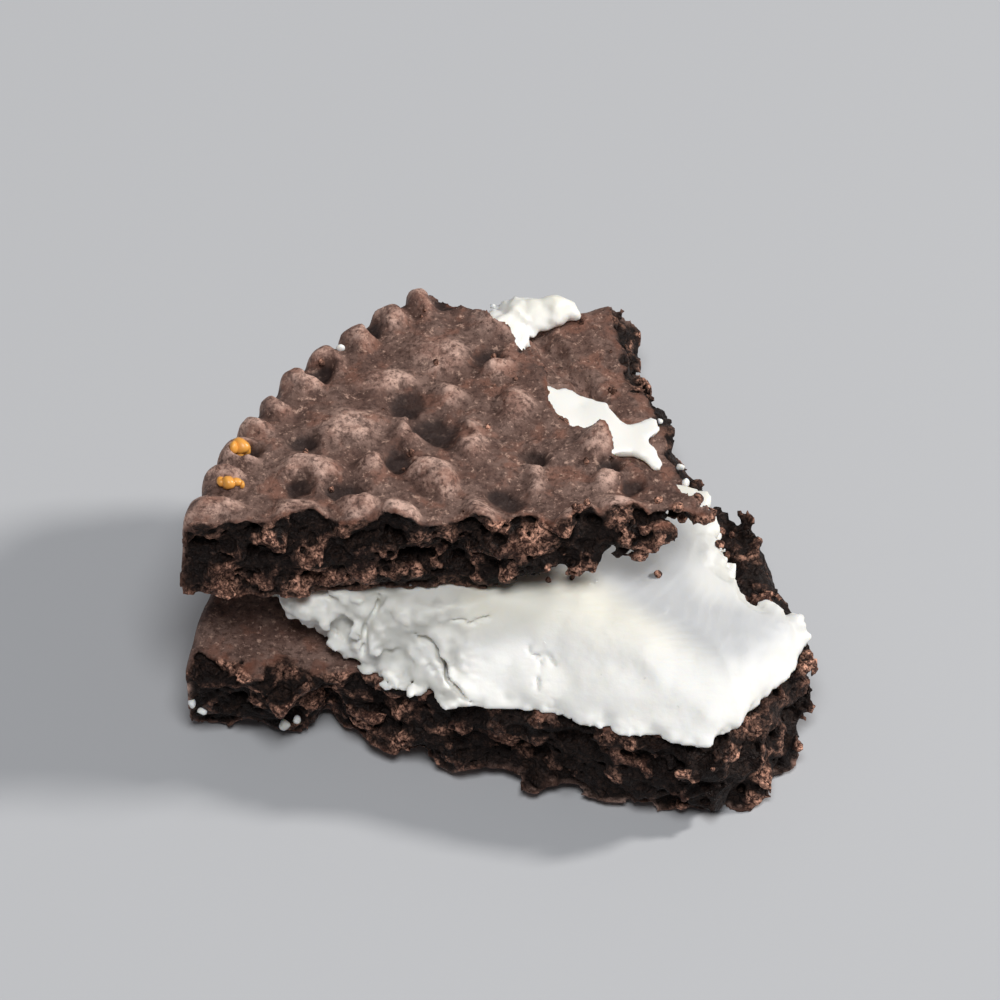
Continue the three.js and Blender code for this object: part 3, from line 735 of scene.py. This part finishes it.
def make_creme(material):
    """The creme, whose broken front slopes and whose right end runs out in a slope."""
    block = Block(*CREME_BLOCK)
    x, y, z = block.x, block.y, block.z
    share = np.clip(z / CREME_HEIGHT, 0, 1)
    coarse = between(*CREME_ROUGHNESS["depths"], over(x, CREME_ROUGHNESS["start"]))
    edge = creme_break(block, share, coarse)
    bulge = CREME_HEIGHT / 2 * (1 - np.sqrt(np.clip(1 - (2 * share - 1) ** 2 * RIM_BULGE, 0, 1)))
    radius = np.hypot(x - CREME_SLIP[0], y - CREME_SLIP[1])
    rim = CREME_RADIUS - bulge - radius + waves(block, "creme_rim")
    under_wafer = CREME_HEIGHT - TILT_GAP - math.tan(TOP_TILT) * (y - TILT_AXIS_Y) - z
    end = END_HEIGHT - END_FALL_X * x - END_FALL_Y * y - z + waves(block, "creme_end")

    chalk = chalk_grains(block, edge)
    tip = CRUMBLY_TIP["share"] * over(x, CRUMBLY_TIP["x"]) * over(y, CRUMBLY_TIP["y"])
    foot = CRUMBLY_FOOT["share"] * (1 - over(z, CRUMBLY_FOOT["z"]))
    crumbly = np.maximum(over(coarse, CRUMBLY_FROM), tip)
    crumbly = np.maximum(np.maximum(crumbly, foot), CRUMBLY_LEAST)
    lobes = 1 + LOBES[0] * (1 - over(x, LOBES[1]))
    soft = waves(block, "creme")
    edge = edge + chalk * crumbly * lobes + soft
    swellings = [swelling["reach"] - blob_distance(block, swelling["middle"], swelling["radii"])
                 for swelling in SWELLINGS]
    edge = np.maximum(edge, np.maximum(*swellings) + SWELLING_ROUGHNESS * chalk)

    smooth = TOP_ROUND["least"] + TOP_ROUND["more"] * over(x, TOP_ROUND["x"]) * (
        1 - over(y, TOP_ROUND["y"]))
    top = rounded(under_wafer, end + CRUMBLY_TOP * chalk * crumbly, smooth)
    body = rounded(rounded(np.minimum(edge, rim), top, smooth), z, FOOT_ROUND)
    bend = waves(block, "crack")
    for start, stop, half_width, depth in CRACKS:
        opening = crack(x + bend, z + bend, start, stop, half_width, depth, np.maximum(edge, 0))
        body = np.minimum(body, np.where((edge < depth) & (y < CRACKS_BACK), opening, FAR))

    smear = inside_distance(*cragged(block, x, y, "residue", RESIDUE_ROUGHNESS), RESIDUE)
    smear = smear + SMEAR_SPREAD + waves(block, "smear")
    smear = rounded(smear, SMEAR_HEIGHT * RESIDUE_HEIGHT - z + soft, SMEAR_ROUND)
    bead, neck = ((1 - blob_distance(block, blob["middle"], blob["radii"])) * min(blob["radii"])
                  for blob in BEADS)
    bead = -rounded(-bead, -neck, BEAD_JOIN) + waves(block, "bead")
    field = np.maximum(np.maximum(body, np.minimum(smear, z)), np.minimum(bead, z))

    def to_row(points):
        return level_to_row(points + np.array([0.0, 0.0, WAFER_THICKNESS]))

    attributes = {"coarse": crumbly, "beneath": under_wafer, "facet_shade": over(edge - end, FACET_EDGE),
                  "chalk": chalk}
    return mesh_piece("vanilla_creme", block, field, to_row, attributes, material)


# ---- materials


class Nodes:
    """Short words for the nodes of one material."""

    def __init__(self, name):
        self.material = bpy.data.materials.new(name)
        self.material.use_nodes = True
        self.tree = self.material.node_tree
        self.shader = self.tree.nodes["Principled BSDF"]
        self.shader.inputs["Roughness"].default_value = ROUGHNESS[name]
        coordinates = self.tree.nodes.new("ShaderNodeTexCoord")
        scaled = self.node("ShaderNodeVectorMath", operation="SCALE")
        scaled.inputs["Scale"].default_value = 1 / MM
        self.link(coordinates.outputs["Object"], scaled.inputs[0])
        self.place = scaled.outputs[0]
        self.bent = self.place

    def node(self, kind, **settings):
        """A new node of the material, with some of its properties set."""
        made = self.tree.nodes.new(kind)
        for key, value in settings.items():
            setattr(made, key, value)
        return made

    def link(self, output, socket):
        self.tree.links.new(output, socket)

    def feed(self, value, socket):
        """Sets a socket to a number or a colour, or links it to another node's output."""
        if isinstance(value, bpy.types.NodeSocket):
            self.link(value, socket)
        elif isinstance(value, tuple):
            socket.default_value = (*value, 1)
        else:
            socket.default_value = value

    def attribute(self, name):
        """A number kept on the points of the mesh."""
        return self.node("ShaderNodeAttribute", attribute_name=name).outputs["Fac"]

    def texture(self, kind, place, size, **settings):
        """A texture node whose largest forms are about size millimetres long."""
        made = self.node(kind, **settings)
        self.link(place, made.inputs["Vector"])
        made.inputs["Scale"].default_value = 1 / size
        return made

    def noise(self, size, detail=3.0, roughness=0.55):
        """Noise from 0 to 1."""
        made = self.texture("ShaderNodeTexNoise", self.place, size)
        made.inputs["Detail"].default_value = detail
        made.inputs["Roughness"].default_value = roughness
        return made.outputs["Fac"]

    def bend(self, size, reach):
        """Moves the grains that follow by up to reach millimetres, so that they are irregular."""
        drift = self.texture("ShaderNodeTexNoise", self.place, size)
        move = self.node("ShaderNodeVectorMath", operation="MULTIPLY_ADD")
        self.link(drift.outputs["Color"], move.inputs[0])
        move.inputs[1].default_value = (2 * reach, 2 * reach, 2 * reach)
        self.link(self.place, move.inputs[2])
        self.bent = move.outputs[0]

    def cells(self, size, feature, output):
        """Grains: a distance in them, or each one's own colour."""
        made = self.texture("ShaderNodeTexVoronoi", self.bent, size, feature=feature)
        return made.outputs[output]

    def band(self, value, low, high, start=0.0, end=1.0):
        """Maps a value between low and high to start and end, smoothly."""
        made = self.node("ShaderNodeMapRange", interpolation_type="SMOOTHSTEP")
        for key, number in (("Value", value), ("From Min", low), ("From Max", high),
                            ("To Min", start), ("To Max", end)):
            self.feed(number, made.inputs[key])
        return made.outputs["Result"]

    def patches(self, name):
        """A share that changes in patches."""
        noise, band = PATCHES[name]
        return self.band(self.noise(*noise), *band)

    def fade(self, value, name):
        """A share that follows a number kept on the mesh."""
        return self.band(value, *FADES[name])

    def math(self, operation, first, second):
        made = self.node("ShaderNodeMath", operation=operation)
        self.feed(first, made.inputs[0])
        self.feed(second, made.inputs[1])
        return made.outputs[0]

    def mix(self, share, first, second):
        """A colour from first at share 0 to second at share 1."""
        made = self.node("ShaderNodeMix", data_type="RGBA")
        self.feed(share, made.inputs[0])
        self.feed(first, made.inputs[6])
        self.feed(second, made.inputs[7])
        return made.outputs[2]

    def bump(self, height, depth):
        """Bump of a height from 0 to 1 that stands for depth millimetres."""
        made = self.node("ShaderNodeBump")
        made.inputs["Distance"].default_value = depth * MM
        self.link(height, made.inputs["Height"])
        self.link(made.outputs["Normal"], self.shader.inputs["Normal"])

    def finish(self, colour, roughness=None):
        self.link(colour, self.shader.inputs["Base Color"])
        if roughness is not None:
            self.link(roughness, self.shader.inputs["Roughness"])
        return self.material


def cocoa_material():
    """Dark cocoa wafer: a brown baked skin, and a darker open crumb where it is broken, with
    painted shade in its recesses and on the lower wafer's inner face.
    """
    nodes = Nodes("cocoa")
    nodes.bend(*GRAIN_BEND)
    crumb, pit, raised = nodes.attribute("crumb"), nodes.attribute("pit"), nodes.attribute("raised")
    skin = nodes.mix(nodes.patches("skin"), *COCOA["skin"])
    # painted shade on the embossing's low ground
    skin = nodes.mix(nodes.fade(raised, "ground"), skin, COCOA["ground"])
    for name in ("dark", "rust", "pale", "specks"):
        skin = nodes.mix(nodes.patches(name), skin, COCOA[name])
    # painted shade, near black, in the dents
    skin = nodes.mix(nodes.fade(raised, "shaded_dent"), skin, COCOA["shaded_dent"])
    ruddy = nodes.math("MULTIPLY", nodes.fade(pit, "ruddy"), nodes.patches("ruddy"))
    skin = nodes.mix(ruddy, skin, COCOA["ruddy"])
    tone = nodes.cells(GRAIN_SIZE, "F1", "Color")
    for name in ("grain", "light"):
        tone = nodes.math("MULTIPLY", tone, nodes.patches(name))
    shaded_seam = nodes.cells(GRAIN_SIZE, "DISTANCE_TO_EDGE", "Distance")
    inside = nodes.mix(tone, *COCOA["grain"])
    # painted shade in the seams between the crumb's grains
    inside = nodes.mix(nodes.fade(shaded_seam, "shaded_seam"), inside, COCOA["shaded_seam"])
    # painted shade in the pores
    inside = nodes.mix(nodes.fade(pit, "pore_shade"), inside, COCOA["pore_shade"])
    rough = nodes.math("ADD", nodes.noise(*CRUMB_BUMP), nodes.math("MULTIPLY", shaded_seam, SEAM_SHARE))
    smooth = nodes.math("MULTIPLY", nodes.noise(*SKIN_BUMP), SKIN_SHARE)
    difference = nodes.math("MULTIPLY", crumb, nodes.math("SUBTRACT", rough, smooth))
    nodes.bump(nodes.math("ADD", smooth, difference), COCOA_BUMP_DEPTH)
    nodes.link(nodes.fade(crumb, "shine"), nodes.shader.inputs["Specular IOR Level"])
    return nodes.finish(nodes.mix(crumb, skin, inside), nodes.patches("gloss"))


def creme_material():
    """Vanilla creme: nearly white, ivory close under the top wafer, chalky where it crumbled, with
    painted shade on its sloping end and in its chalk's hollows.
    """
    nodes = Nodes("vanilla")
    colour = nodes.mix(nodes.patches("white"), *VANILLA["white"])
    colour = nodes.mix(nodes.fade(nodes.attribute("beneath"), "ivory"), colour, VANILLA["ivory"])
    # painted shade, slightly bluish, on the creme's sloping end
    colour = nodes.mix(nodes.attribute("facet_shade"), colour, VANILLA["facet_shade"])
    chalk = nodes.fade(nodes.attribute("coarse"), "chalk")
    colour = nodes.mix(chalk, colour, VANILLA["chalk"])
    # painted shade in the hollows of the crumbled creme
    pit = nodes.math("MULTIPLY", chalk, nodes.fade(nodes.attribute("chalk"), "pit"))
    colour = nodes.mix(pit, colour, VANILLA["pit"])
    nodes.bump(nodes.noise(*CREME_BUMP), CREME_BUMP_DEPTH)
    for key, value in CREME_GLOW.items():
        nodes.shader.inputs["Subsurface " + key].default_value = value
    return nodes.finish(colour)


def plain_material(name, colour):
    """A material of one colour."""
    nodes = Nodes(name)
    nodes.shader.inputs["Base Color"].default_value = (*colour, 1)
    return nodes.material


def place_piece(piece, slot, *nodes):
    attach(piece, "root")
    if nodes:
        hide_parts(*nodes)


# ---- loose crumbs

# Where single crumbs lie in the photo's view: to the right, upwards, and the radius
COCOA_SPECKS = (
    (5.7, 1.1, 0.17), (1.75, 0.9, 0.13), (2.6, 1.0, 0.15), (7.9, 2.2, 0.2), (8.3, 1.8, 0.16),
    (8.1, 2.6, 0.2), (8.5, 2.5, 0.14), (-3.2, 5.5, 0.2), (2.8, 3.5, 0.22), (3.1, 3.7, 0.15),
    (7.2, 3.8, 0.25), (5.7, 3.75, 0.2), (6.4, 3.5, 0.22),
)
CREME_FLECKS = (
    (-11.2, -3.5, 0.2), (-10.8, -3.8, 0.17), (-9.8, -4.3, 0.22), (-9, -4.3, 0.16),
    (-7.8, -4.3, 0.24), (-7.4, -4.2, 0.18), (6.6, 5.0, 0.16), (6.8, 4.4, 0.18),
    (-5.8, 9.3, 0.15), (3.9, 11.4, 0.16), (5.9, 6.7, 0.13),
)
GOLDEN_CRUMBS = (
    (-9.66, 5.72, 0.23), (-9.38, 5.83, 0.3), (-9.18, 5.6, 0.21), (-9.42, 5.5, 0.17),
    (-10, 4.5, 0.2), (-9.73, 4.42, 0.26), (-9.47, 4.46, 0.2), (-9.28, 4.36, 0.14),
)
SCATTERED_CRUMBS = 60
SCATTER_REACH = (11.5, 12)  # how far from the middle they fall, in X and Y
SCATTER_RADIUS = (0.06, 0.13)  # the least radius, and how much it varies
SCATTER_START = 20
SCATTER_HEIGHT, SCATTER_SLOPE = 3, 0.4  # they stay on faces this high and level
SPOT_START, SPOT_HEIGHT = 50, 0.5
SPOT_SINK, SCATTER_SINK = 0.35, 0.3  # how far their middles lie above the surface, in radii
GRAIN_CUTS, CUT_REACH = 9, (0.62, 1.0)  # flat faces of a crumb
GRAIN_STRETCH = (0.75, 1.25)
LOOSE_COCOA = {"crumb": 1.0, "pit": -0.05}
LOOSE_CREME = {"beneath": 3.0}


def surface_of(*pieces):
    """The surfaces of several pieces, to find where a crumb lies."""
    points, faces = [], []
    for piece in pieces:
        first, mesh = len(points), piece.data
        faces += [[first + corner for corner in face.vertices] for face in mesh.polygons]
        points += [vertex.co for vertex in mesh.vertices]
    return BVHTree.FromPolygons(points, faces)


def seen_places(surface, spots):
    """Where the line of sight of each spot meets the surface, and the spot's radius."""
    across, up = Vector((1, 0, 0)), Vector((0, -SIGHT.z, SIGHT.y))
    for x, rise, radius in spots:
        start = (across * x + up * rise - SIGHT * SPOT_START) * MM
        hit = surface.ray_cast(start, SIGHT)
        if hit[0] is not None and hit[0].z > SPOT_HEIGHT * MM:
            yield hit[0] + hit[1] * (SPOT_SINK * radius * MM), radius


def fallen_places(surface, count, seed):
    """Places on the upper faces where crumbs came to lie, and their radii."""
    draw = np.random.default_rng(seed)
    for _ in range(count):
        x, y = (draw.uniform(-reach, reach) for reach in SCATTER_REACH)
        radius = SCATTER_RADIUS[0] + SCATTER_RADIUS[1] * draw.random() ** 2
        hit = surface.ray_cast(Vector((x, y, SCATTER_START)) * MM, Vector((0, 0, -1)))
        if hit[0] is not None and hit[0].z > SCATTER_HEIGHT * MM and hit[1].z > SCATTER_SLOPE:
            yield hit[0] + hit[1] * (SCATTER_SINK * radius * MM), radius


def add_grains(name, places, seed, numbers, material):
    """One mesh of small angular crumbs at the given places."""
    ball = bmesh.new()
    bmesh.ops.create_icosphere(ball, subdivisions=2, radius=1)
    shape = np.array([vertex.co for vertex in ball.verts])
    corners = [[vertex.index for vertex in face.verts] for face in ball.faces]
    ball.free()
    draw = np.random.default_rng(seed)
    points, faces = [], []
    for place, radius in places:
        cuts = draw.normal(size=(GRAIN_CUTS, 3))
        cuts /= np.linalg.norm(cuts, axis=1)[:, None]
        reach = np.max(shape @ cuts.T / draw.uniform(*CUT_REACH, GRAIN_CUTS), axis=1)
        faces += [[corner + len(points) for corner in face] for face in corners]
        grain = shape / np.maximum(reach, 1)[:, None] * draw.uniform(*GRAIN_STRETCH, 3)
        points += (grain * radius * MM + np.array(place)).tolist()
    numbers = {key: [value] * len(points) for key, value in numbers.items()}
    return add_mesh(name, points, faces, numbers, material)


cocoa = cocoa_material()
vanilla = creme_material()
golden = plain_material("golden_crumb", GOLDEN)
top_wafer = make_top_wafer(cocoa)
bottom_wafer = make_bottom_wafer(cocoa)
creme = make_creme(vanilla)
place_piece(top_wafer, "cocoa_wafer", "wafer_top")
place_piece(bottom_wafer, "cocoa_wafer", "wafer_bottom")
place_piece(creme, "vanilla_creme", "creme")

everything = surface_of(top_wafer, bottom_wafer, creme)
cocoa_places = [
    *seen_places(everything, COCOA_SPECKS),
    *fallen_places(surface_of(top_wafer, bottom_wafer), SCATTERED_CRUMBS, SEEDS["fallen"])]
for name, places, numbers, material, slot in (
    ("cocoa_crumbs", cocoa_places, LOOSE_COCOA, cocoa, "cocoa_wafer"),
    ("creme_flecks", seen_places(everything, CREME_FLECKS), LOOSE_CREME, vanilla, "vanilla_creme"),
    ("golden_crumbs", seen_places(everything, GOLDEN_CRUMBS), {}, golden, "cocoa_wafer"),
):
    place_piece(add_grains(name, places, SEEDS[name], numbers, material), slot)


# ---- studio


def add_floor():
    """A plain floor under the piece."""
    r = FLOOR_REACH
    corners = [(-r, -r, 0), (r, -r, 0), (r, r, 0), (-r, r, 0)]
    paint = plain_material("floor_paint", FLOOR_COLOUR)
    add_mesh("floor", corners, [(0, 1, 2, 3)], {}, paint)


def hang(name, data, out, place):
    """Hangs a lamp or a camera at a place, looking back along a direction."""
    hung = bpy.data.objects.new(name, data)
    hung.location = place
    hung.rotation_euler = out.to_track_quat("Z", "Y").to_euler()
    bpy.context.scene.collection.objects.link(hung)
    return hung


def add_light(name, azimuth, elevation, distance, size, power, colour):
    """A soft round lamp that looks at the piece."""
    data = bpy.data.lights.new(name, "AREA")
    data.shape = "DISK"
    data.size = size
    data.energy = power
    data.color = colour
    a, e = math.radians(azimuth), math.radians(elevation)
    out = Vector((math.sin(a) * math.cos(e), -math.cos(a) * math.cos(e), math.sin(e)))
    hang(name, data, out, out * distance)


def add_camera():
    """The photo's view."""
    data = bpy.data.cameras.new("camera")
    data.sensor_width = SENSOR_WIDTH
    data.lens = SENSOR_WIDTH * CAMERA_DISTANCE / VIEW_WIDTH
    data.clip_start = CLIP_START
    place = CAMERA_AIM - SIGHT * CAMERA_DISTANCE
    bpy.context.scene.camera = hang("camera", data, -SIGHT, place)


def light_world():
    """Weak light from all around."""
    world = bpy.data.worlds.new("studio")
    world.use_nodes = True
    background = world.node_tree.nodes["Background"]
    background.inputs["Color"].default_value = WORLD_COLOUR
    background.inputs["Strength"].default_value = WORLD_STRENGTH
    bpy.context.scene.world = world


add_floor()
for name, lamp in LAMPS.items():
    add_light(name, *lamp)
light_world()
add_camera()
bpy.context.scene.view_settings.view_transform = "Standard"
